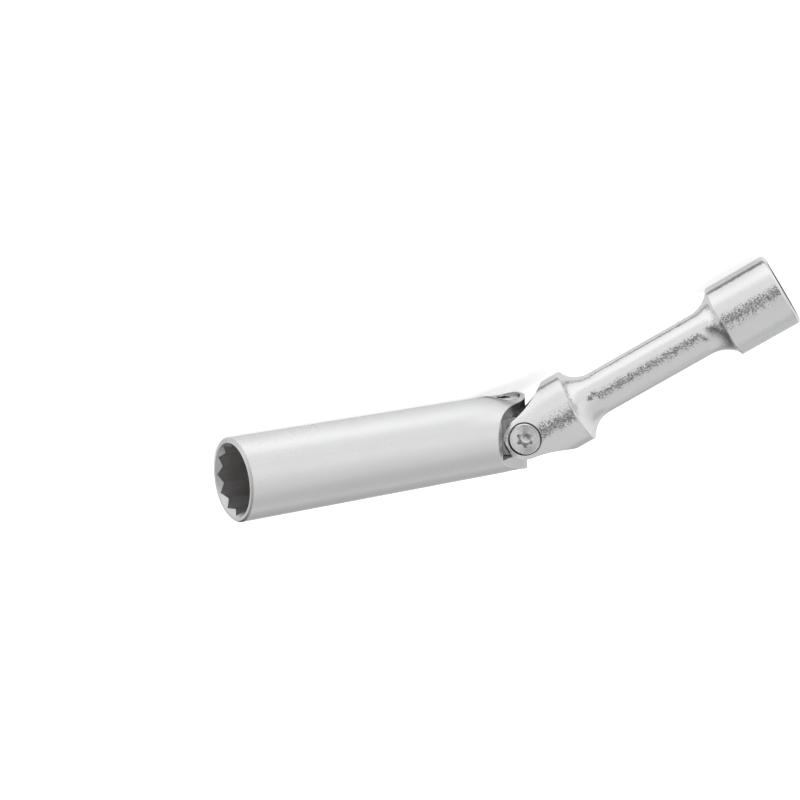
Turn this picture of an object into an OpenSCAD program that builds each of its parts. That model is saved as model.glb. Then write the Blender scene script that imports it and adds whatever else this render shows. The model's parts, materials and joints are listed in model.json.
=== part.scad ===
// Spark plug socket with a jointed drive end.
// A steel tube carries a 12-point plug seat in its mouth and a fork at its other end.
// A link with four pivot screws joins the fork to the yoke of the drive shank, and the
// two pivot axes cross at a right angle a few millimetres apart.
// The part lies on a flat surface, bent at both pivots, resting on the tube and the drive head.

/* [Socket tube] */
// Outside diameter of the tube
tube_d = 19; // [18:0.1:21]
// Distance from the mouth to the fork's pivot axis
tube_len = 74.2; // [70:0.1:110]
// Bevel on the outer edge of the mouth
rim_bevel = 0.4; // [0.2:0.05:0.6]
// Size of the 12-point plug seat across flats
seat_af = 14.1; // [13.9:0.05:14.4]
// Depth of the 12-point seat
seat_depth = 16; // [12:0.5:22]
// Width of the sloping lead-in around the seat's mouth
lead_in = 0.25; // [0.1:0.05:0.35]
// Slope of the lead-in against the tube's axis
lead_in_angle = 40; // [30:1:50]
// Diameter of the bore that clears the plug's insulator
insulator_d = 11.6; // [10.5:0.1:12]
// Depth of the insulator bore from the mouth
insulator_depth = 58; // [45:0.5:59]
// Angle of the drill point at a blind bore's end
drill_angle = 118; // [90:1:140]

/* [Magnet] */
// Length of the ring magnet behind the seat
magnet_len = 6; // [4:0.5:10]
// Radial gap between the magnet and its pocket
magnet_gap = 0.05; // [0.02:0.01:0.1]
// Radial step from the insulator bore out to the magnet's own bore
magnet_step = 0.2; // [0.1:0.05:0.3]

/* [Pivot joint] */
// Distance between the two pivot axes
pivot_offset = 5.8; // [5.6:0.1:8]
// Radius of the rounded end of each ear
ear_r = 5.15; // [4.9:0.05:5.3]
// Radius of the hollow flank that leads from an ear to the full diameter
flank_r = 20; // [16:0.5:24]
// Distance from the fork's pivot to the flank's edge on the tube
fork_root = 8.7; // [8.5:0.1:9.2]
// Distance from the yoke's pivot to the flank's edge on the yoke
yoke_root = 8.9; // [8.6:0.1:9.3]
// Width of the slot between two ears
slot_w = 9.6; // [9.2:0.1:10]
// Depth of the slot behind its pivot axis
slot_depth = 6.4; // [6.2:0.1:6.8]
// Bevel turned on the tips of the ears
ear_bevel = 0.6; // [0.3:0.1:1.2]
// Side play between the link and each ear
link_play = 0.2; // [0.1:0.05:0.3]

/* [Pivot screws] */
// Diameter of a screw head, which is the pivot journal
screw_head_d = 7.5; // [7:0.1:7.8]
// Radial running clearance of a screw head in its ear
screw_clearance = 0.3; // [0.15:0.01:0.35]
// Distance of a screw's face below the yoke's surface
screw_sink = 0.35; // [0.2:0.05:0.8]
// Bevel around a screw's face
screw_bevel = 0.2; // [0.1:0.05:0.4]
// Diameter of a screw's thread
thread_d = 5; // [4:0.1:5.2]
// Radial gap of a thread in its tapped hole
thread_gap = 0.05; // [0.02:0.01:0.1]
// Distance between the tips of two opposite screws
tip_gap = 1; // [0.4:0.1:2]
// Width of the six-lobe recess from point to point
lobe_w = 4.1; // [3.3:0.05:4.4]
// Depth of the six-lobe recess
lobe_depth = 2; // [1.5:0.1:2.4]

/* [Drive shank] */
// Outside diameter of the yoke
yoke_d = 18.3; // [17.4:0.1:19]
// Distance from the yoke's pivot axis to its base edge
yoke_len = 13.8; // [12:0.1:16]
// Radius of the rounded edge at the yoke's base
yoke_round = 0.5; // [0.3:0.05:0.7]
// Diameter of the shaft
shaft_d = 10.6; // [9.5:0.1:12]
// Radius of the hollow necks at both ends of the shaft
neck_r = 7; // [6:0.1:8]
// Diameter of the drive head
head_d = 17.8; // [17:0.1:18.8]
// Length of the drive head
head_len = 15.6; // [14:0.1:18]
// Distance from the yoke's pivot axis to the drive end
shank_len = 69; // [64:0.1:90]
// Radius of the rounded edge where the drive head starts
head_round = 0.5; // [0.3:0.05:0.7]
// Radius of the rounded edge at the drive end
end_round = 0.8; // [0.5:0.05:0.9]
// Width of the drive square
square_w = 9.6; // [9.53:0.01:9.7]
// Depth of the drive square
square_depth = 11.5; // [10.5:0.1:12.5]
// Width of the round countersink beyond the square's corners
square_sink = 0.7; // [0.3:0.05:0.8]
// Distance from the drive end to the four ball-catch dimples
catch_depth = 5.4; // [5:0.1:6]
// Radius of the catch ball's dimples
catch_r = 1.8; // [1.5:0.1:2]
// How far a dimple reaches behind the square's wall
catch_reach = 0.7; // [0.4:0.05:0.9]

/* [Pose at rest] */
// Bend at the fork's pivot
fork_bend = 42.7; // [25:0.1:45]
// Bend at the yoke's pivot
yoke_bend = 28.7; // [15:0.1:40]

/* [Hidden] */
$fn = 96;

// Overlap that lets a cut pass clean through a face
cut = 1;
tube_r = tube_d / 2;
yoke_r = yoke_d / 2;
head_r = head_d / 2;
shaft_r = shaft_d / 2;
insulator_r = insulator_d / 2;
hex_corner_r = seat_af / 2 / cos(30);
lead_in_r = hex_corner_r + lead_in;
lead_in_depth = (lead_in_r - seat_af / 2) / tan(lead_in_angle);
magnet_end = seat_depth + magnet_len;
link_half = slot_w / 2 - link_play;
screw_hole_r = screw_head_d / 2 + screw_clearance;
screw_face = yoke_r - screw_sink;
// Recess between its lobes, the flutes there and its pilot hole, as shares of half its width
lobe_valley_share = 0.72;
lobe_flute_share = 0.4;
lobe_pilot_share = 0.6;
lobe_r = lobe_w / 2;
lobe_flute_r = lobe_flute_share * lobe_r;
lobe_flute_reach = lobe_valley_share * lobe_r + lobe_flute_r;
lobe_pilot_r = lobe_pilot_share * lobe_r;
square_corner_r = square_w / sqrt(2);
head_start = shank_len - head_len;

// Drive end seen from the tube: x along the tube from its mouth, z along the fork's pivot axis
bend_reach = pivot_offset + shank_len * cos(yoke_bend);
drive_end = [
  tube_len + bend_reach * cos(fork_bend),
  -bend_reach * sin(fork_bend),
  shank_len * sin(yoke_bend)
];
drive_dir = [cos(yoke_bend) * cos(fork_bend), -cos(yoke_bend) * sin(fork_bend), sin(yoke_bend)];

// Roll about the tube that lets the drive head touch the surface the tube lies on
rest_step = (tube_r - head_r) / norm([drive_end.y, drive_end.z]);
lie_roll = atan2(drive_end.y, drive_end.z) - acos(-rest_step);
// Turn that brings the drive axis over +X
lie_turn = -atan2(drive_dir.y * cos(lie_roll) - drive_dir.z * sin(lie_roll), drive_dir.x);

// Point p after the roll and the turn
function rolled(p) = [
  p.x,
  p.y * cos(lie_roll) - p.z * sin(lie_roll),
  p.y * sin(lie_roll) + p.z * cos(lie_roll)
];
function turned(p) = [
  p.x * cos(lie_turn) - p.y * sin(lie_turn),
  p.x * sin(lie_turn) + p.y * cos(lie_turn),
  p.z
];

// Frame of the tube: origin at the mouth, x along the tube, z along the fork's pivot axis
module in_tube() {
  translate(-turned(rolled(drive_end)))
    rotate([0, 0, lie_turn])
      rotate([lie_roll, 0, 0])
        children();
}

// Frame of the link: origin on the fork's pivot axis, x towards the yoke
module in_link() {
  in_tube()
    translate([tube_len, 0, 0])
      rotate([0, 0, -fork_bend])
        children();
}

// Frame of the shank: origin on the yoke's pivot axis, x along the shank, y along that axis
module in_shank() {
  in_link()
    translate([pivot_offset, 0, 0])
      rotate([0, -yoke_bend, 0])
        children();
}

// Straight cylinder along x from one distance to another
module rod(r, from, to) {
  translate([from, 0, 0])
    rotate([0, 90, 0])
      cylinder(h = to - from, r = r);
}

// Cone along x between two distances
module cone(r_from, r_to, from, to) {
  translate([from, 0, 0])
    rotate([0, 90, 0])
      cylinder(h = to - from, r1 = r_from, r2 = r_to);
}

// Blind bore along x with a drill point at its far end
module drilled(r, from, to) {
  rod(r, from, to);
  cone(r, 0, to, to + r / tan(drill_angle / 2));
}

// Six-sided prism along x
module hex_rod(corner_r, from, to, turn) {
  translate([from, 0, 0])
    rotate([turn, 0, 0])
      rotate([0, 90, 0])
        cylinder(h = to - from, r = corner_r, $fn = 6);
}

// Plan of a pair of ears that face +x, with their pivot at the origin.
// Each flank is one hollow arc: it leaves the ear's round end at a tangent
// and runs out on the body's surface at the root.
module ear_plan(body_r, root, back) {
  reach = ear_r + flank_r;
  root_point = [-root, body_r];
  root_dist = norm(root_point);
  spread = acos((reach * reach + root_dist * root_dist - flank_r * flank_r) / (2 * reach * root_dist));
  flank_dir = atan2(root_point.y, root_point.x) - spread;
  flank_centre = reach * [cos(flank_dir), sin(flank_dir)];
  tangent = ear_r * [cos(flank_dir), sin(flank_dir)];
  wide = body_r + cut;
  circle(r = ear_r);
  difference() {
    polygon([
      tangent,
      root_point,
      [-root, wide],
      [-back, wide],
      [-back, -wide],
      [-root, -wide],
      [-root, -body_r],
      [tangent.x, -tangent.y]
    ]);
    for (side = [-1, 1])
      translate([flank_centre.x, side * flank_centre.y])
        circle(r = flank_r);
  }
}

// Two ears with a slot between them, kept from the body given as the child.
// The pivot axis is z, and the ears face +x.
module forked(body_r, root, back) {
  difference() {
    intersection() {
      children();
      translate([0, 0, -body_r - cut])
        linear_extrude(height = 2 * (body_r + cut))
          ear_plan(body_r, root, back);
    }
    translate([-slot_depth, -body_r - cut, -slot_w / 2])
      cube([slot_depth + ear_r + cut, 2 * (body_r + cut), slot_w]);
    translate([0, 0, -body_r - cut])
      cylinder(h = 2 * (body_r + cut), r = screw_hole_r);
  }
}

// Outer form of the tube, from its mouth to the end of its ears
module tube_body() {
  cone(tube_r - rim_bevel, tube_r, 0, rim_bevel);
  rod(tube_r, rim_bevel, tube_len + ear_r - ear_bevel);
  cone(tube_r, tube_r - ear_bevel, tube_len + ear_r - ear_bevel, tube_len + ear_r);
}

// Everything that is hollow in the tube: seat, magnet pocket and insulator bore
module tube_hollow() {
  cone(lead_in_r + cut * tan(lead_in_angle), seat_af / 2, -cut, lead_in_depth);
  for (turn = [0, 30])
    hex_rod(hex_corner_r, -cut, seat_depth, turn);
  rod(seat_af / 2, -cut, magnet_end);
  drilled(insulator_r, -cut, insulator_depth);
}

module socket_tube() {
  color("gainsboro")
    in_tube()
      difference() {
        translate([tube_len, 0, 0])
          forked(tube_r, fork_root, tube_len + cut)
            translate([-tube_len, 0, 0])
              tube_body();
        tube_hollow();
      }
}

module plug_magnet() {
  color("dimgray")
    in_tube()
      difference() {
        rod(seat_af / 2 - magnet_gap, seat_depth, magnet_end);
        rod(insulator_r + magnet_step, seat_depth - cut, magnet_end + cut);
      }
}

// Block that is round about z at the fork's pivot and about y at the yoke's pivot
module link_block() {
  long = pivot_offset + 2 * link_half;
  intersection() {
    union() {
      translate([0, 0, -link_half])
        cylinder(h = 2 * link_half, r = link_half);
      translate([0, -link_half, -link_half])
        cube([long, 2 * link_half, 2 * link_half]);
    }
    union() {
      translate([pivot_offset, link_half, 0])
        rotate([90, 0, 0])
          cylinder(h = 2 * link_half, r = link_half);
      translate([pivot_offset - long, -link_half, -link_half])
        cube([long, 2 * link_half, 2 * link_half]);
    }
  }
}

// Places its child at both ends of both pivot axes, with z pointing out of the link
module at_each_screw() {
  for (flip = [0, 180])
    rotate([flip, 0, 0])
      children();
  for (flip = [-90, 90])
    translate([pivot_offset, 0, 0])
      rotate([flip, 0, 0])
        children();
}

module joint_link() {
  color("silver")
    in_link()
      difference() {
        link_block();
        at_each_screw()
          cylinder(h = link_half + cut, r = thread_d / 2 + thread_gap);
      }
}

// Outline of a six-lobe recess: a disc with six round flutes
module six_lobe() {
  difference() {
    circle(r = lobe_r);
    for (turn = [0 : 60 : 300])
      rotate(turn)
        translate([lobe_flute_reach, 0])
          circle(r = lobe_flute_r);
  }
}

// One pivot screw: thread in the link, and a head that turns in an ear
module pivot_screw() {
  journal_r = screw_head_d / 2;
  bevel_start = screw_face - screw_bevel;
  difference() {
    union() {
      translate([0, 0, tip_gap / 2])
        cylinder(h = link_half - tip_gap / 2, r = thread_d / 2);
      translate([0, 0, link_half])
        cylinder(h = bevel_start - link_half, r = journal_r);
      translate([0, 0, bevel_start])
        cylinder(h = screw_bevel, r1 = journal_r, r2 = journal_r - screw_bevel);
    }
    translate([0, 0, screw_face - lobe_depth])
      linear_extrude(height = lobe_depth + cut)
        six_lobe();
    translate([0, 0, screw_face])
      rotate([0, 90, 0])
        drilled(lobe_pilot_r, -cut, lobe_depth);
  }
}

module pivot_screws() {
  color("lightgray")
    in_link()
      at_each_screw()
        pivot_screw();
}

// Hollow neck that widens along +x from the shaft to a larger radius at the origin's plane
module neck(to_r) {
  rise = to_r - shaft_r;
  run = sqrt(2 * neck_r * rise - rise * rise);
  rotate([0, -90, 0])
    rotate_extrude()
      difference() {
        square([to_r, run]);
        translate([shaft_r + neck_r, run])
          circle(r = neck_r);
      }
}

// Disc at the origin's plane whose rim is rounded off towards +x
module round_rim(r, edge_r) {
  rotate([0, 90, 0])
    rotate_extrude() {
      square([r - edge_r, edge_r]);
      intersection() {
        translate([r - edge_r, 0])
          circle(r = edge_r);
        square([r, edge_r]);
      }
    }
}

// Outer form of the shank: yoke, neck, shaft, neck and head
module shank_body() {
  cone(yoke_r - ear_bevel, yoke_r, -ear_r, ear_bevel - ear_r);
  rod(yoke_r, ear_bevel - ear_r, yoke_len - yoke_round);
  translate([yoke_len - yoke_round, 0, 0])
    round_rim(yoke_r, yoke_round);
  translate([yoke_len, 0, 0])
    mirror([1, 0, 0])
      neck(yoke_r - yoke_round);
  rod(shaft_r, yoke_len - cut, head_start + cut);
  translate([head_start, 0, 0])
    neck(head_r - head_round);
  translate([head_start + head_round, 0, 0])
    mirror([1, 0, 0])
      round_rim(head_r, head_round);
  rod(head_r, head_start + head_round, shank_len - end_round);
  translate([shank_len - end_round, 0, 0])
    round_rim(head_r, end_round);
}

// Square drive hole with its countersink and a dimple for the catch ball in each wall
module drive_hole() {
  sink_r = square_corner_r + square_sink;
  translate([shank_len - square_depth, -square_w / 2, -square_w / 2])
    cube([square_depth + cut, square_w, square_w]);
  cone(square_w / 2, sink_r + cut, shank_len - (sink_r - square_w / 2), shank_len + cut);
  for (turn = [0 : 90 : 270])
    rotate([turn, 0, 0])
      translate([shank_len - catch_depth, 0, square_w / 2 + catch_reach - catch_r])
        sphere(r = catch_r);
}

module drive_shank() {
  color("gainsboro")
    in_shank()
      difference() {
        rotate([90, 0, 180])
          forked(yoke_r, yoke_root, shank_len + cut)
            rotate([0, 0, 180])
              shank_body();
        drive_hole();
      }
}

socket_tube();
plug_magnet();
joint_link();
pivot_screws();
drive_shank();
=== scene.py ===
# %% [markdown]
# # A jointed spark plug socket
# The tool is a steel tube with a twelve-point mouth and a ring magnet inside, a link with four pivot
# screws, and a shank with a square drive head. All of these are rigid, so their shapes come ready as
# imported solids. What is left to do here is what the eye meets first: plated, turned and milled metal, and
# a studio for it to reflect. Loading the frame comes first, because the finishes are laid out along the
# mounts and hinges that it knows.

# %% Load the frame
import json
import math

import bpy
from mathutils import Matrix, Vector


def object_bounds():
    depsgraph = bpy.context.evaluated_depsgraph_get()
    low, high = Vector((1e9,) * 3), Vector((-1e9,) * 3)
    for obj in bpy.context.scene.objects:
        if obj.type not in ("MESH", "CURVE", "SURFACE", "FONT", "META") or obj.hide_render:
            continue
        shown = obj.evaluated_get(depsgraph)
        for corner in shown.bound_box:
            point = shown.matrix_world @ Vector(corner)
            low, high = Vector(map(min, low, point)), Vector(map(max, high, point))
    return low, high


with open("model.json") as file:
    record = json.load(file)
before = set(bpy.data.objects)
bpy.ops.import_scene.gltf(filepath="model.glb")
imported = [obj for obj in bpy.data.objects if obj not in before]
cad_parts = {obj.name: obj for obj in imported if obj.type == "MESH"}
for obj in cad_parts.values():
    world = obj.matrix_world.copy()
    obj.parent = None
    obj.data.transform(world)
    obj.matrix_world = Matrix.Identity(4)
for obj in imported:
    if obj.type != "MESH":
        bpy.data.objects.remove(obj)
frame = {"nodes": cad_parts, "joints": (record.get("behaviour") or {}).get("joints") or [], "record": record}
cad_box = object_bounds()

scene = bpy.context.scene
scene.view_settings.view_transform = "Standard"
MM = 0.001
print("nodes:", sorted(frame["nodes"]))
print("CAD box in mm:", [[round(c / MM, 2) for c in corner] for corner in cad_box])

# %% [markdown]
# ## Axes of the tool
# Tool marks follow the way a piece was made: rings on turned faces, straight lines on milled ones.
# Painting them by hand or unwrapping each piece would also work, but both break when a size changes.
# The record already knows where the tube, the shank and the two hinges are, so the marks are laid along
# those axes instead.

# %% Read the axes from the record
mounts = {mount["name"]: mount for mount in frame["record"]["mounts"]}
hinges = {joint["name"]: joint for joint in frame["joints"]}
mouth = Vector(mounts["plug_seat"]["pos_m"])
tube_axis = -Vector(mounts["plug_seat"]["axis"]).normalized()
drive_end = Vector(mounts["drive_square"]["pos_m"])
shank_axis = -Vector(mounts["drive_square"]["axis"]).normalized()
fork_pivot = Vector(hinges["fork_hinge"]["pos_m"])
fork_axis = Vector(hinges["fork_hinge"]["axis"]).normalized()
yoke_pivot = Vector(hinges["yoke_hinge"]["pos_m"])
yoke_axis = Vector(hinges["yoke_hinge"]["axis"]).normalized()
tube_length = (fork_pivot - mouth).dot(tube_axis)
shank_length = (yoke_pivot - drive_end).dot(shank_axis)
print("mouth to fork pivot:", round(tube_length / MM, 2), "mm")
print("drive end to yoke pivot:", round(shank_length / MM, 2), "mm")

# %% [markdown]
# ## Small tools for shader nodes
# A node tree can be wired by hand in the editor, but a script that repeats the wiring soon gets long.
# A few helpers keep it short. One makes a node and fills its sockets, and two do sums on numbers and on
# vectors. A soft step serves as a mask with a smooth edge, and masks are multiplied to find where all of
# them hold. The last helper measures how far a point lies along an axis and away from it.

# %% Nodes and sums
def add(tree, kind, sockets=(), **settings):
    """One shader node: settings are its own choices; sockets gives each input a value or a link."""
    node = tree.nodes.new("ShaderNode" + kind)
    for name, value in settings.items():
        setattr(node, name, value)
    for name, value in dict(sockets).items():
        if isinstance(value, bpy.types.NodeSocket):
            tree.links.new(value, node.inputs[name])
        else:
            node.inputs[name].default_value = value
    return node


def calc(tree, operation, *values):
    """Result of one Math node, on sockets or plain numbers."""
    return add(tree, "Math", enumerate(values), operation=operation).outputs[0]


def vector(tree, operation, first, second):
    """Node of one vector sum, whose outputs are Vector and Value."""
    return add(tree, "VectorMath", {0: first, 1: second}, operation=operation)


print("nodes and sums are ready")

# %% Masks and distances
def soft_step(tree, value, start, end, first=0.0, last=1.0):
    """first below start, last above end, and an S-shaped curve from one to the other between them."""
    limits = {"From Min": start, "From Max": end, "To Min": first, "To Max": last}
    return add(tree, "MapRange", {"Value": value, **limits}, interpolation_type="SMOOTHSTEP").outputs[0]


def spread(tree, value, low, high):
    """Value from 0 to 1 stretched to run from low to high."""
    return add(tree, "MapRange", {"Value": value, "To Min": low, "To Max": high}).outputs[0]


def all_of(tree, mask, *others):
    """Product of masks, which is 1 only where every one of them is."""
    for other in others:
        mask = calc(tree, "MULTIPLY", mask, other)
    return mask


def about_axis(tree, place, centre, axis):
    """Distance along an axis from its centre, and distance from the axis."""
    offset = vector(tree, "SUBTRACT", place, centre).outputs["Vector"]
    along = vector(tree, "DOT_PRODUCT", offset, axis).outputs["Value"]
    across = vector(tree, "CROSS_PRODUCT", offset, axis).outputs["Vector"]
    return along, add(tree, "VectorMath", {0: across}, operation="LENGTH").outputs["Value"]


print("masks and distances are ready")

# %% [markdown]
# ## Three effects that the finishes share
# Plated metal has a fine grain over a slow ripple, and wide smudges that dull it here and there. Cutting
# tools leave lines. Edges are broken with a file and polished brighter than the faces. These could be
# wired anew in each material, but then a change would have to be made five times. Each effect is one
# node group with named sockets instead, which every finish below uses with values of its own.

# %% A group with named sockets
def new_group(name, inputs, outputs):
    """Empty node group; inputs gives each socket's kind, outputs likewise. Returns tree, inputs, outputs."""
    tree = bpy.data.node_groups.new(name, "ShaderNodeTree")
    for direction, sockets in (("INPUT", inputs), ("OUTPUT", outputs)):
        for socket, kind in sockets.items():
            tree.interface.new_socket(socket, in_out=direction, socket_type="NodeSocket" + kind)
    return tree, tree.nodes.new("NodeGroupInput").outputs, tree.nodes.new("NodeGroupOutput").inputs


def use_group(tree, group, **sockets):
    """A group placed in a material, with its inputs given by name. Returns its outputs."""
    return add(tree, "Group", sockets, node_tree=group).outputs


print("groups can be made and placed")

# %% Satin grain
def make_satin_grain():
    """Grain height from fine noise plus a wide ripple, and a smudge mask from slow noise."""
    tree, inputs, outputs = new_group(
        "satin_grain",
        {"Place": "Vector", "Grain": "Float", "Ripple": "Float"},
        {"Height": "Float", "Smudge": "Float"},
    )
    smudge_size = 9 * MM
    ripple_share = 1.6
    grain_detail, smudge_detail, falloff = 1.0, 3.0, 0.6

    def noise(size, detail):
        """Noise from 0 to 1 in patches of about one size."""
        scale = calc(tree, "DIVIDE", 1.0, size)
        sockets = {"Vector": inputs["Place"], "Scale": scale, "Detail": detail, "Roughness": falloff}
        return add(tree, "TexNoise", sockets).outputs[0]

    ripple = calc(tree, "MULTIPLY", noise(inputs["Ripple"], grain_detail), ripple_share)
    tree.links.new(calc(tree, "ADD", noise(inputs["Grain"], grain_detail), ripple), outputs["Height"])
    tree.links.new(noise(smudge_size, smudge_detail), outputs["Smudge"])
    return tree


satin_grain = make_satin_grain()
print("group:", satin_grain.name)

# %% Tool marks
def make_tool_marks():
    """Grooves across one coordinate: noise in one dimension, at the pitch of the tool's feed."""
    tree, inputs, outputs = new_group(
        "tool_marks", {"Across": "Float", "Pitch": "Float"}, {"Groove": "Float"}
    )
    groove_detail = 2.0
    phase = calc(tree, "DIVIDE", inputs["Across"], inputs["Pitch"])
    sockets = {"W": phase, "Scale": 1.0, "Detail": groove_detail}
    groove = add(tree, "TexNoise", sockets, noise_dimensions="1D").outputs[0]
    tree.links.new(groove, outputs["Groove"])
    return tree


tool_marks = make_tool_marks()
print("group:", tool_marks.name)

# %% Broken edges
def make_broken_edge():
    """Normals that turn round an edge over a small radius, and a mask that is 1 on the edge itself."""
    tree, inputs, outputs = new_group(
        "broken_edge", {"Radius": "Float"}, {"Normal": "Vector", "Edge": "Float"}
    )
    flat, turned = 0.995, 0.9
    rounded = add(tree, "Bevel", {"Radius": inputs["Radius"]}, samples=6).outputs[0]
    face = add(tree, "NewGeometry").outputs["Normal"]
    agreement = vector(tree, "DOT_PRODUCT", rounded, face).outputs["Value"]
    tree.links.new(rounded, outputs["Normal"])
    tree.links.new(soft_step(tree, agreement, turned, flat, 1.0, 0.0), outputs["Edge"])
    return tree


broken_edge = make_broken_edge()
print("group:", broken_edge.name)

# %% [markdown]
# ## Finishes
# Every finish ends in one metallic Principled shader. Its colour, roughness and surface normal come
# from the three groups above, mixed by masks of where on the piece a point is. A picture texture could
# carry the same detail, but it would need an unwrapped mesh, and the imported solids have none.

# %% Start and end of a finish
def new_finish(name):
    """Material with a metallic shader. Returns material, tree, shader and the object's own coordinates."""
    material = bpy.data.materials.new(name)
    material.use_nodes = True
    tree = material.node_tree
    tree.nodes.clear()
    shader = add(tree, "BsdfPrincipled", {"Metallic": 1.0})
    tree.links.new(shader.outputs[0], add(tree, "OutputMaterial").inputs["Surface"])
    return material, tree, shader, add(tree, "TexCoord").outputs["Object"]


def put_on(node_name, material):
    """Gives a solid its finish, in the one slot that it has."""
    frame["nodes"][node_name].material_slots[0].material = material
    print(node_name, "has", material.name)


print("finishes can be started and put on")

# %% Mixing and relief
def mix_colour(tree, mask, first, second):
    """Colour that goes from first to second with a mask."""
    node = add(tree, "Mix", {0: mask}, data_type="RGBA")
    for socket, colour in zip((node.inputs[6], node.inputs[7]), (first, second)):
        if isinstance(colour, bpy.types.NodeSocket):
            tree.links.new(colour, socket)
        else:
            socket.default_value = (*colour, 1.0)
    return node.outputs[2]


def mix_value(tree, mask, first, second):
    """Number that goes from first to second with a mask."""
    return add(tree, "Mix", {0: mask, 2: first, 3: second}, data_type="FLOAT").outputs[0]


def raise_surface(tree, shader, height, depth, normal):
    """Feeds the shader's normal from a height, with depth in metres for a height of 1."""
    sockets = {"Height": height, "Distance": depth, "Normal": normal}
    tree.links.new(add(tree, "Bump", sockets).outputs[0], shader.inputs["Normal"])


print("colours, numbers and relief can be mixed")

# %% Plated and milled faces
EDGE_RADIUS = 0.22 * MM
FADE = 0.5 * MM
SKIN_TOP, SKIN_BOTTOM = 0.04 * MM, 0.12 * MM
LINE_PITCH, LINE_SHARE = 0.3 * MM, 0.8
CHROME = (0.86, 0.862, 0.866)
CHROME_SMUDGED = (0.81, 0.812, 0.818)
CHROME_EDGE = (0.93, 0.932, 0.936)
# Milled faces: the grooves are tool marks, and the base is painted darker as painted shade in the slots
# between the parts.
MILLED_SHADED = (0.72, 0.72, 0.72)
MILLED_GROOVE = (0.48, 0.48, 0.48)


def milled_mask(tree, along, radius, start, skin_radius):
    """1 on faces that lie under the round skin of a piece and past a start along its axis."""
    under_skin = soft_step(tree, radius, skin_radius - SKIN_BOTTOM, skin_radius - SKIN_TOP, 1.0, 0.0)
    return all_of(tree, under_skin, soft_step(tree, along, start, start + FADE))


def plate_colour(tree, smudge, milled, lines, edge):
    """Smudged chrome, grooved steel where it was milled, painted darker there as painted shade between the
    parts, and brighter edges.
    """
    plate = mix_colour(tree, smudge, CHROME, CHROME_SMUDGED)
    plate = mix_colour(tree, milled, plate, mix_colour(tree, lines, MILLED_SHADED, MILLED_GROOVE))
    return mix_colour(tree, edge, plate, CHROME_EDGE)


print("edges are broken by", round(EDGE_RADIUS / MM, 2), "mm")

# %% [markdown]
# ## Satin chrome of the tube
# The tube is blasted, plated and then left alone, so it is the most even surface of the tool. The flat
# ring round its mouth is faced off last and stays a greyer steel. Past the sloping lead-in the bore's
# steel is duller, and is painted darker as painted shade down the bore. The fork's inner faces were
# milled after turning, and show lines across the cutter's path. Four materials on chosen faces would do
# as well, but the solid has one slot and its faces may change, so masks by place choose the finish of
# each point.

# %% Tube
TUBE_RADIUS = 9.5 * MM
RIM_BEVEL, RIM_FADE = 0.4 * MM, 0.04 * MM
LEAD_IN_RADIUS, LEAD_IN_FADE = 8.39 * MM, 0.1 * MM
LEAD_IN_SLOPE = math.tan(math.radians(40.0))
LEAD_IN_END = 2.0 * MM
CONE_START, CONE_END = LEAD_IN_RADIUS + 0.05 * MM, LEAD_IN_RADIUS + 0.3 * MM
BORE_END = 62.0 * MM
FORK_START = tube_length - 9.0 * MM
FACED = (0.68, 0.68, 0.685)
FACED_RING = (0.52, 0.52, 0.525)
# Painted shade: the bore's steel is darker than the plate, for the shade down the bore.
BORE_SHADED_STEEL = (0.80, 0.79, 0.79)
BORE_SHADED_STEEL_SMUDGED = (0.66, 0.65, 0.65)
TUBE_ROUGHNESS, BORE_ROUGHNESS = (0.24, 0.32), 0.42
TUBE_RELIEF = 0.014 * MM


def make_tube_chrome():
    """Satin chrome outside, a faced ring at the mouth, a duller bore painted darker as painted shade, and a
    milled fork.

    A point lies behind the lead-in cone where radius + along * slope > radius of the cone's rim.
    """
    material, tree, shader, place = new_finish("tube_satin_chrome")
    along, radius = about_axis(tree, place, mouth, tube_axis)
    grain = use_group(tree, satin_grain, Place=place, Grain=0.36 * MM, Ripple=5.0 * MM)
    edge = use_group(tree, broken_edge, Radius=EDGE_RADIUS)
    rings = use_group(tree, tool_marks, Across=radius, Pitch=0.2 * MM)["Groove"]
    lines = use_group(tree, tool_marks, Across=along, Pitch=LINE_PITCH)["Groove"]

    inside = soft_step(tree, radius, LEAD_IN_RADIUS, LEAD_IN_RADIUS + LEAD_IN_FADE, 1.0, 0.0)
    cone_reach = calc(tree, "MULTIPLY_ADD", along, LEAD_IN_SLOPE, radius)
    behind_cone = soft_step(tree, cone_reach, CONE_START, CONE_END)
    before_fork = soft_step(tree, along, BORE_END, BORE_END + FADE, 1.0, 0.0)
    bore = all_of(tree, inside, behind_cone, before_fork)
    rim = soft_step(tree, along, RIM_BEVEL - RIM_FADE, RIM_BEVEL + RIM_FADE, 1.0, 0.0)
    near_mouth = soft_step(tree, along, LEAD_IN_END, LEAD_IN_END + FADE, 1.0, 0.0)
    faced = calc(tree, "MAXIMUM", rim, all_of(tree, inside, near_mouth))
    milled = milled_mask(tree, along, radius, FORK_START, TUBE_RADIUS)

    plate = plate_colour(tree, grain["Smudge"], milled, lines, edge["Edge"])
    plate = mix_colour(tree, faced, plate, mix_colour(tree, rings, FACED, FACED_RING))
    shaded_bore = mix_colour(tree, grain["Smudge"], BORE_SHADED_STEEL, BORE_SHADED_STEEL_SMUDGED)
    tree.links.new(mix_colour(tree, bore, plate, shaded_bore), shader.inputs["Base Color"])
    satin = spread(tree, grain["Smudge"], *TUBE_ROUGHNESS)
    tree.links.new(mix_value(tree, bore, satin, BORE_ROUGHNESS), shader.inputs["Roughness"])
    height = mix_value(tree, milled, grain["Height"], calc(tree, "MULTIPLY", lines, LINE_SHARE))
    raise_surface(tree, shader, height, TUBE_RELIEF, edge["Normal"])
    return material


put_on("socket_tube", make_tube_chrome())

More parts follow.
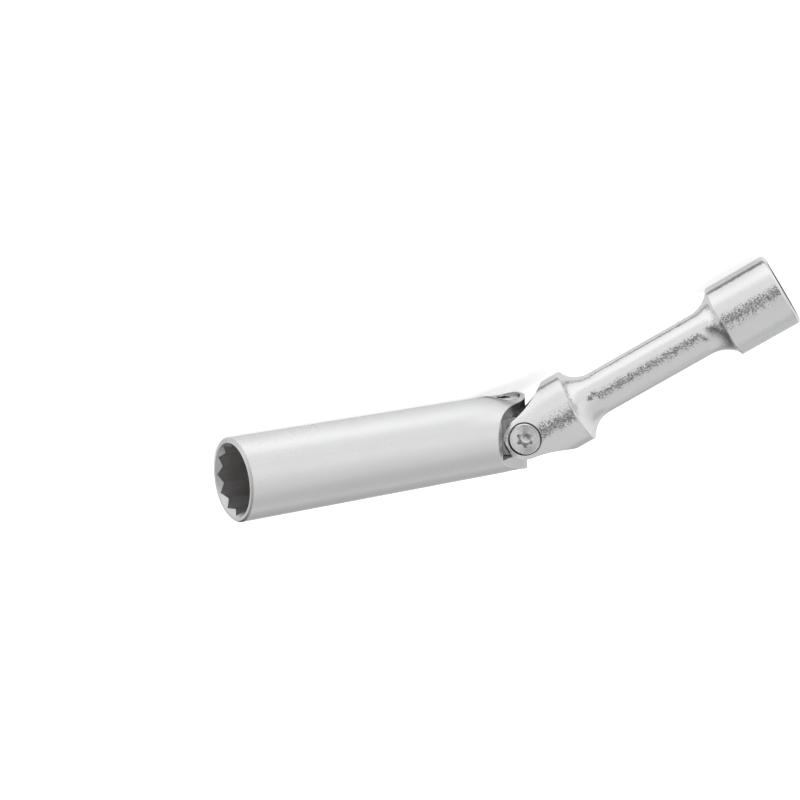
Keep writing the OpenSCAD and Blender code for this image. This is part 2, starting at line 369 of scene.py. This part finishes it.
# %% [markdown]
# ## Satin chrome of the shank
# The shank is forged, blasted and then plated. Blasting leaves tiny facets that each lean their own way,
# so a dark reflection breaks up into specks. Fine noise in a bump map is the usual way to draw them, but
# noise is smooth and gives hairs instead of specks, so each small cell of the surface gets a random lean.
# A slow ripple lets the reflections wander, as on any forging. The flat drive end is painted dark as
# painted shade, and the square hole inside it is painted darker still, as painted shade in the hole.

# %% Blasted facets
MIDDLE_GREY = (0.5, 0.5, 0.5)


def facet_normal(tree, place, size, tilt, normal):
    """normal + tilt * (colour - middle grey), at length 1, with a random colour for each small cell."""
    colour = add(tree, "TexVoronoi", {"Vector": place, "Scale": 1.0 / size}).outputs["Color"]
    lean = vector(tree, "SUBTRACT", colour, MIDDLE_GREY).outputs["Vector"]
    lean = add(tree, "VectorMath", {0: lean, "Scale": tilt}, operation="SCALE").outputs["Vector"]
    tilted = vector(tree, "ADD", normal, lean).outputs["Vector"]
    return add(tree, "VectorMath", {0: tilted}, operation="NORMALIZE").outputs["Vector"]


FACET_SIZE, FACET_TILT = 0.24 * MM, 0.11
print("facets of", round(FACET_SIZE / MM, 2), "mm lean by up to", FACET_TILT / 2, "each way")

# %% Shank
YOKE_RADIUS = 9.15 * MM
YOKE_START = shank_length - 7.0 * MM
END_FACE_TOP, END_FACE_BOTTOM = 0.02 * MM, 0.06 * MM
SQUARE_START = 0.1 * MM
SQUARE_END = 12.0 * MM
SQUARE_REACH, SQUARE_FADE = 7.45 * MM, 0.07 * MM
# Painted shade: the drive end face and the square hole in it are coloured dark for the shade on them.
END_FACE_SHADE = (0.30, 0.30, 0.302)
SQUARE_SHADE = (0.17, 0.168, 0.166)
SHANK_ROUGHNESS, SQUARE_ROUGHNESS = (0.14, 0.18), 0.5
SHANK_RELIEF = 0.02 * MM


def make_shank_chrome():
    """Satin chrome in small facets, milled lines in the yoke's slot, and a drive end and square painted dark
    as painted shade.
    """
    material, tree, shader, place = new_finish("shank_satin_chrome")
    along, radius = about_axis(tree, place, drive_end, shank_axis)
    grain = use_group(tree, satin_grain, Place=place, Grain=1.6 * MM, Ripple=6.0 * MM)
    edge = use_group(tree, broken_edge, Radius=EDGE_RADIUS)
    lines = use_group(tree, tool_marks, Across=along, Pitch=LINE_PITCH)["Groove"]

    milled = milled_mask(tree, along, radius, YOKE_START, YOKE_RADIUS)
    end_face = soft_step(tree, along, END_FACE_TOP, END_FACE_BOTTOM, 1.0, 0.0)
    in_head = soft_step(tree, along, SQUARE_END, SQUARE_END + FADE, 1.0, 0.0)
    past_face = soft_step(tree, along, END_FACE_TOP, SQUARE_START)
    near_axis = soft_step(tree, radius, SQUARE_REACH, SQUARE_REACH + SQUARE_FADE, 1.0, 0.0)
    square = all_of(tree, in_head, past_face, near_axis)

    plate = plate_colour(tree, grain["Smudge"], milled, lines, edge["Edge"])
    plate = mix_colour(tree, end_face, plate, END_FACE_SHADE)
    tree.links.new(mix_colour(tree, square, plate, SQUARE_SHADE), shader.inputs["Base Color"])
    satin = spread(tree, grain["Smudge"], *SHANK_ROUGHNESS)
    tree.links.new(mix_value(tree, square, satin, SQUARE_ROUGHNESS), shader.inputs["Roughness"])
    height = mix_value(tree, milled, grain["Height"], calc(tree, "MULTIPLY", lines, LINE_SHARE))
    tilt = mix_value(tree, milled, FACET_TILT, 0.0)
    facets = facet_normal(tree, place, FACET_SIZE, tilt, edge["Normal"])
    raise_surface(tree, shader, height, SHANK_RELIEF, facets)
    return material


put_on("drive_shank", make_shank_chrome())

# %% [markdown]
# ## Turned screws, milled link, plated magnet
# The screws come off a lathe: their faces carry fine rings round their own axis. Four materials, one for
# each screw, would be the plain way. But two screws share each hinge axis, so the nearer of the two axes
# is always the right one, and one material is enough. The link is a milled block, and the ring magnet is
# nickel plated, with a warmer tone than chrome.

# %% Pivot screws
SCREW_FACE_HEIGHT, SCREW_FACE_SLOPE = 8.8 * MM, 0.09
SCREW_EDGE_RADIUS = 0.12 * MM
RECESS_RADIUS, RECESS_DEPTH = 2.05 * MM, 2.0 * MM
RECESS_FADE = (0.03 * MM, 0.1 * MM)
WALL_TOP_FADE = (0.2 * MM, 0.06 * MM)
WALL_FOOT_FADE = (0.05 * MM, 0.2 * MM)
SCREW_FACE = (0.94, 0.94, 0.936)
SCREW_FACE_SMUDGED = (0.88, 0.878, 0.872)
# Painted shade: the recess walls are coloured dark for the shade inside the six-lobe recess.
RECESS_WALL_SHADE = (0.38, 0.378, 0.372)
SCREW_ROUGHNESS = (0.18, 0.32)
SCREW_GRAIN_SHARE, SCREW_RELIEF = 0.4, 0.016 * MM


def make_screw_steel():
    """Turned rings round the nearer hinge axis, on bright plated steel; the walls of the six-lobe recess
    painted dark as painted shade.

    The face rises a little towards its middle: its height is -slope * radius.
    """
    material, tree, shader, place = new_finish("turned_screw_steel")
    up_fork, from_fork = about_axis(tree, place, fork_pivot, fork_axis)
    up_yoke, from_yoke = about_axis(tree, place, yoke_pivot, yoke_axis)
    radius = calc(tree, "MINIMUM", from_fork, from_yoke)
    on_fork = calc(tree, "LESS_THAN", from_fork, from_yoke)
    up = calc(tree, "ABSOLUTE", mix_value(tree, on_fork, up_yoke, up_fork))
    rings = use_group(tree, tool_marks, Across=radius, Pitch=0.12 * MM)["Groove"]
    grain = use_group(tree, satin_grain, Place=place, Grain=0.25 * MM, Ripple=2.0 * MM)
    edge = use_group(tree, broken_edge, Radius=SCREW_EDGE_RADIUS)

    inside = soft_step(tree, radius, *(RECESS_RADIUS + fade for fade in RECESS_FADE), 1.0, 0.0)
    sunk = soft_step(tree, up, *(SCREW_FACE_HEIGHT - fade for fade in WALL_TOP_FADE), 1.0, 0.0)
    floor_height = SCREW_FACE_HEIGHT - RECESS_DEPTH
    above_floor = soft_step(tree, up, *(floor_height + fade for fade in WALL_FOOT_FADE))
    recess_shade = all_of(tree, inside, sunk, above_floor)

    face = mix_colour(tree, grain["Smudge"], SCREW_FACE, SCREW_FACE_SMUDGED)
    face = mix_colour(tree, recess_shade, face, RECESS_WALL_SHADE)
    tree.links.new(mix_colour(tree, edge["Edge"], face, CHROME_EDGE), shader.inputs["Base Color"])
    tree.links.new(spread(tree, rings, *SCREW_ROUGHNESS), shader.inputs["Roughness"])
    marks = calc(tree, "ADD", rings, calc(tree, "MULTIPLY", grain["Height"], SCREW_GRAIN_SHARE))
    rise = calc(tree, "MULTIPLY", radius, -SCREW_FACE_SLOPE)
    height = calc(tree, "MULTIPLY_ADD", marks, SCREW_RELIEF, rise)
    raise_surface(tree, shader, height, 1.0, edge["Normal"])
    return material


put_on("pivot_screws", make_screw_steel())

# %% Link
LINK_STEEL = (0.84, 0.838, 0.835)
LINK_GROOVE = (0.68, 0.678, 0.675)
LINK_ROUGHNESS = (0.28, 0.42)
LINK_GRAIN_SHARE, LINK_RELIEF = 0.3, 0.01 * MM


def make_link_steel():
    """Milled lines, spaced along the fork's hinge axis, on plain grey steel."""
    material, tree, shader, place = new_finish("milled_link_steel")
    along = about_axis(tree, place, fork_pivot, fork_axis)[0]
    lines = use_group(tree, tool_marks, Across=along, Pitch=0.25 * MM)["Groove"]
    grain = use_group(tree, satin_grain, Place=place, Grain=0.3 * MM, Ripple=3.0 * MM)
    edge = use_group(tree, broken_edge, Radius=EDGE_RADIUS)
    steel = mix_colour(tree, lines, LINK_STEEL, LINK_GROOVE)
    tree.links.new(mix_colour(tree, edge["Edge"], steel, CHROME_EDGE), shader.inputs["Base Color"])
    tree.links.new(spread(tree, grain["Smudge"], *LINK_ROUGHNESS), shader.inputs["Roughness"])
    height = calc(tree, "ADD", lines, calc(tree, "MULTIPLY", grain["Height"], LINK_GRAIN_SHARE))
    raise_surface(tree, shader, height, LINK_RELIEF, edge["Normal"])
    return material


put_on("joint_link", make_link_steel())

# %% Magnet
NICKEL = (0.66, 0.64, 0.59)
NICKEL_SMUDGED = (0.52, 0.50, 0.46)
MAGNET_ROUGHNESS = (0.2, 0.36)
MAGNET_EDGE_RADIUS = 0.15 * MM
MAGNET_RELIEF = 0.006 * MM


def make_magnet_nickel():
    """Nickel with rings from grinding its end faces."""
    material, tree, shader, place = new_finish("ground_magnet_nickel")
    radius = about_axis(tree, place, mouth, tube_axis)[1]
    rings = use_group(tree, tool_marks, Across=radius, Pitch=0.15 * MM)["Groove"]
    grain = use_group(tree, satin_grain, Place=place, Grain=0.2 * MM, Ripple=3.0 * MM)
    edge = use_group(tree, broken_edge, Radius=MAGNET_EDGE_RADIUS)
    nickel = mix_colour(tree, grain["Smudge"], NICKEL, NICKEL_SMUDGED)
    tree.links.new(nickel, shader.inputs["Base Color"])
    tree.links.new(spread(tree, rings, *MAGNET_ROUGHNESS), shader.inputs["Roughness"])
    height = calc(tree, "ADD", rings, grain["Height"])
    raise_surface(tree, shader, height, MAGNET_RELIEF, edge["Normal"])
    return material


put_on("plug_magnet", make_magnet_nickel())

# %% [markdown]
# ## Floor
# The tool lies on a white sheet. White paper reflects most of the light, and a camera shows it as pure
# white. The plain way is a bright lamp, but that would burn out the metal too. Here the sheet gives
# back a little extra only to rays from the camera and, in a pool round the tool, to rays from the
# metal. It keeps the tool's shadow. The picture has a thin dark line along the shank's upper side, most
# likely the edge of its own shadow mirrored in it. A harder lamp could draw such an edge, but it would
# change all the rest, so the line lies on the sheet, where only rays from the metal see it.

# %% Floor paper
floor_z = cad_box[0].z
FLOOR_COLOUR = (0.88, 0.88, 0.88)
CAMERA_LIFT = 0.6
# Painted light: a pool of glow round the tool that only rays from the metal see.
PAINTED_POOL_LIFT = 0.30
POOL_FALL = (11.0 * MM, 24.0 * MM)
SHADOW_HALF, SHAFT_SHADOW_HALF = 6.4 * MM, 3.5 * MM
SHAFT_START, SHAFT_END, SHAFT_FADE = 19.0 * MM, 50.0 * MM, 2.0 * MM
SHADOW_CORE, SHADOW_EDGE = 0.3 * MM, 1.2 * MM
# Painted shadow: the grey of a dark line on the sheet that only rays from the metal see.
PAINTED_SHADOW_GREY = (0.36, 0.36, 0.36)
WHITE = (1.0, 1.0, 1.0, 1.0)


def make_floor_paper():
    """White diffuse sheet, brighter where the camera sees it, with a painted pool of light near the tool
    that only mirrors see.

    Near is measured beside the lines that lie straight under the tube's and the shank's axes. Only mirrors
    show the painted shadow: a thin dark line on both sides of the shank, closer in under the shaft than
    under its ends.
    """
    material = bpy.data.materials.new("floor_paper")
    material.use_nodes = True
    tree = material.node_tree
    tree.nodes.clear()
    path = add(tree, "LightPath").outputs
    place = add(tree, "TexCoord").outputs["Object"]
    feet = [Vector((point.x, point.y, floor_z)) for point in (mouth, drive_end)]
    ways = [Vector((axis.x, axis.y, 0.0)).normalized() for axis in (tube_axis, shank_axis)]
    beside_tube = about_axis(tree, place, feet[0], ways[0])[1]
    along, beside_shank = about_axis(tree, place, feet[1], ways[1])

    past_head = soft_step(tree, along, SHAFT_START - SHAFT_FADE, SHAFT_START)
    before_yoke = soft_step(tree, along, SHAFT_END, SHAFT_END + SHAFT_FADE, 1.0, 0.0)
    on_shaft = all_of(tree, past_head, before_yoke)
    shank_half = mix_value(tree, on_shaft, SHADOW_HALF, SHAFT_SHADOW_HALF)
    from_edge = calc(tree, "ABSOLUTE", calc(tree, "SUBTRACT", beside_shank, shank_half))
    clear = soft_step(tree, from_edge, SHADOW_CORE, SHADOW_EDGE)
    from_tool = calc(tree, "MINIMUM", beside_tube, beside_shank)
    pool = all_of(tree, clear, soft_step(tree, from_tool, *POOL_FALL, PAINTED_POOL_LIFT, 0.0))

    mirrored = calc(tree, "MULTIPLY", path["Is Glossy Ray"], pool)
    strength = calc(tree, "MULTIPLY_ADD", path["Is Camera Ray"], CAMERA_LIFT, mirrored)
    painted_shadow_line = calc(tree, "MULTIPLY", path["Is Glossy Ray"], calc(tree, "SUBTRACT", 1.0, clear))
    colour = mix_colour(tree, painted_shadow_line, FLOOR_COLOUR, PAINTED_SHADOW_GREY)
    paper = add(tree, "BsdfDiffuse", {"Color": colour}).outputs[0]
    lift = add(tree, "Emission", {"Color": WHITE, "Strength": strength}).outputs[0]
    sheet = add(tree, "AddShader", {0: paper, 1: lift}).outputs[0]
    tree.links.new(sheet, add(tree, "OutputMaterial").inputs["Surface"])
    return material


floor_paper = make_floor_paper()
print("floor finish:", floor_paper.name)

# %% Floor sheet
FLOOR_HALF = 6.0

floor_mesh = bpy.data.meshes.new("floor")
corners = [(x * FLOOR_HALF, y * FLOOR_HALF, floor_z) for x, y in ((-1, -1), (1, -1), (1, 1), (-1, 1))]
floor_mesh.from_pydata(corners, [], [(0, 1, 2, 3)])
floor_mesh.materials.append(floor_paper)
floor = bpy.data.objects.new("floor", floor_mesh)
scene.collection.objects.link(floor)
print("floor at", round(floor_z / MM, 2), "mm")

# %% [markdown]
# ## Studio
# Chrome has hardly a colour of its own: it shows the room. The room here is bright on the side of the
# drive head and behind the camera, dark on the side of the mouth, and greyer overhead and in two soft
# cards on the far side. The wall behind the camera has a dark leaning strip and a dark round spot. The
# strip is what draws the speckled band along the shank. A picture of a real studio could light the tool
# too, but a room worked out by direction needs no file.

# %% Room
BRIGHT_WALL, DIM_WALL, WALL_TURN = 0.87, 0.48, (-0.8, 0.8)
FRONT_WALL, FRONT_TURN = 0.84, (0.3, 0.7)
SIDE_SHARE, SIDE_TURN = 0.25, (-0.75, -0.35)
CEILING, CEILING_TURN = 0.66, (0.2, 0.9)
DARK_STRIP = 0.12
STRIP_SIDE = Vector((0.922, -0.101, 0.374))
STRIP_CORE, STRIP_EDGE = 0.03, 0.15
STRIP_START = (0.3, 0.6)
# Each card: direction, cosines of the angles to its rim and its core, and the share of light it leaves.
GREY_CARDS = (
    (Vector((0.3, -0.55, 0.78)).normalized(), 0.88, 0.985, 0.79),
    (Vector((-0.35, -0.85, 0.4)).normalized(), 0.90, 0.97, 0.76),
)
DARK_SPOT = Vector((0.36, 0.867, 0.347)).normalized()
SPOT_RIM, SPOT_CORE, SPOT_LIGHT = 0.968, 0.988, 0.12


def make_room():
    """Room brightness by direction: walls, ceiling, two grey cards, a dark strip and a dark round spot."""
    world = bpy.data.worlds.new("studio_room")
    world.use_nodes = True
    tree = world.node_tree
    tree.nodes.clear()
    way = add(tree, "TexCoord").outputs["Generated"]
    parts = add(tree, "SeparateXYZ", {0: way}).outputs
    wall = soft_step(tree, parts["X"], *WALL_TURN, DIM_WALL, BRIGHT_WALL)
    wall = mix_value(tree, soft_step(tree, parts["Y"], *FRONT_TURN), wall, FRONT_WALL)
    wall = calc(tree, "MULTIPLY", wall, soft_step(tree, parts["X"], *SIDE_TURN, SIDE_SHARE, 1.0))
    light = mix_value(tree, soft_step(tree, parts["Z"], *CEILING_TURN), wall, CEILING)
    for card, rim, core, share in GREY_CARDS:
        near_card = vector(tree, "DOT_PRODUCT", way, card).outputs["Value"]
        light = calc(tree, "MULTIPLY", light, soft_step(tree, near_card, rim, core, 1.0, share))
    from_strip = calc(tree, "ABSOLUTE", vector(tree, "DOT_PRODUCT", way, STRIP_SIDE).outputs["Value"])
    strip = soft_step(tree, from_strip, STRIP_CORE, STRIP_EDGE, 1.0, 0.0)
    strip = all_of(tree, strip, soft_step(tree, parts["Y"], *STRIP_START))
    light = mix_value(tree, strip, light, DARK_STRIP)
    near_spot = vector(tree, "DOT_PRODUCT", way, DARK_SPOT).outputs["Value"]
    light = mix_value(tree, soft_step(tree, near_spot, SPOT_RIM, SPOT_CORE), light, SPOT_LIGHT)
    background = add(tree, "Background", {"Color": WHITE, "Strength": light}).outputs[0]
    tree.links.new(background, add(tree, "OutputWorld").inputs["Surface"])
    return world


scene.world = make_room()
print("room:", scene.world.name)

# %% [markdown]
# ## Softbox
# One wide lamp hangs straight over the tool. It lifts the white sheet to a plain level and draws the
# contact shadow under the tube and the drive head. The room already gives the metal its reflections,
# so the lamp stays out of them. A sun lamp would be simpler, but its shadows are too hard for a studio.

# %% Softbox
SOFTBOX_SIDE = 1.2
SOFTBOX_HEIGHT = 1.0
SOFTBOX_POWER = 5.6

softbox_light = bpy.data.lights.new("softbox", "AREA")
softbox_light.shape = "SQUARE"
softbox_light.size = SOFTBOX_SIDE
softbox_light.energy = SOFTBOX_POWER
softbox = bpy.data.objects.new("softbox", softbox_light)
middle = (cad_box[0] + cad_box[1]) / 2
softbox.location = (middle.x, middle.y, SOFTBOX_HEIGHT)
softbox.visible_glossy = False
scene.collection.objects.link(softbox)
print("softbox radiance:", round(SOFTBOX_POWER / (math.pi * SOFTBOX_SIDE**2), 2))

# %% [markdown]
# ## Camera
# The picture was taken with the tool bent at both pivots, from a low angle over the sheet and with the
# camera turned well over. The place, aim and up direction below were found by fitting the outlines of
# the tool, so the picture is not guessed at by eye.

# %% Camera
CAMERA_PLACE = Vector((15.404, 388.461, 132.650)) * MM
CAMERA_AIM = Vector((-0.257701, -0.899042, -0.353995)).normalized()
CAMERA_UP = Vector((0.454007, 0.210737, -0.865718))
CAMERA_LENS = 77.318
SENSOR = 36.0
NEAREST = 10 * MM

camera_data = bpy.data.cameras.new("camera")
camera_data.sensor_width = SENSOR
camera_data.lens = CAMERA_LENS
camera_data.clip_start = NEAREST
right = CAMERA_AIM.cross(CAMERA_UP).normalized()
upright = right.cross(CAMERA_AIM)
turn = Matrix((right, upright, -CAMERA_AIM)).transposed()
camera = bpy.data.objects.new("camera", camera_data)
camera.matrix_world = Matrix.Translation(CAMERA_PLACE) @ turn.to_4x4()
scene.collection.objects.link(camera)
scene.camera = camera
print("camera looks down by", round(math.degrees(math.asin(-CAMERA_AIM.z)), 1), "degrees")
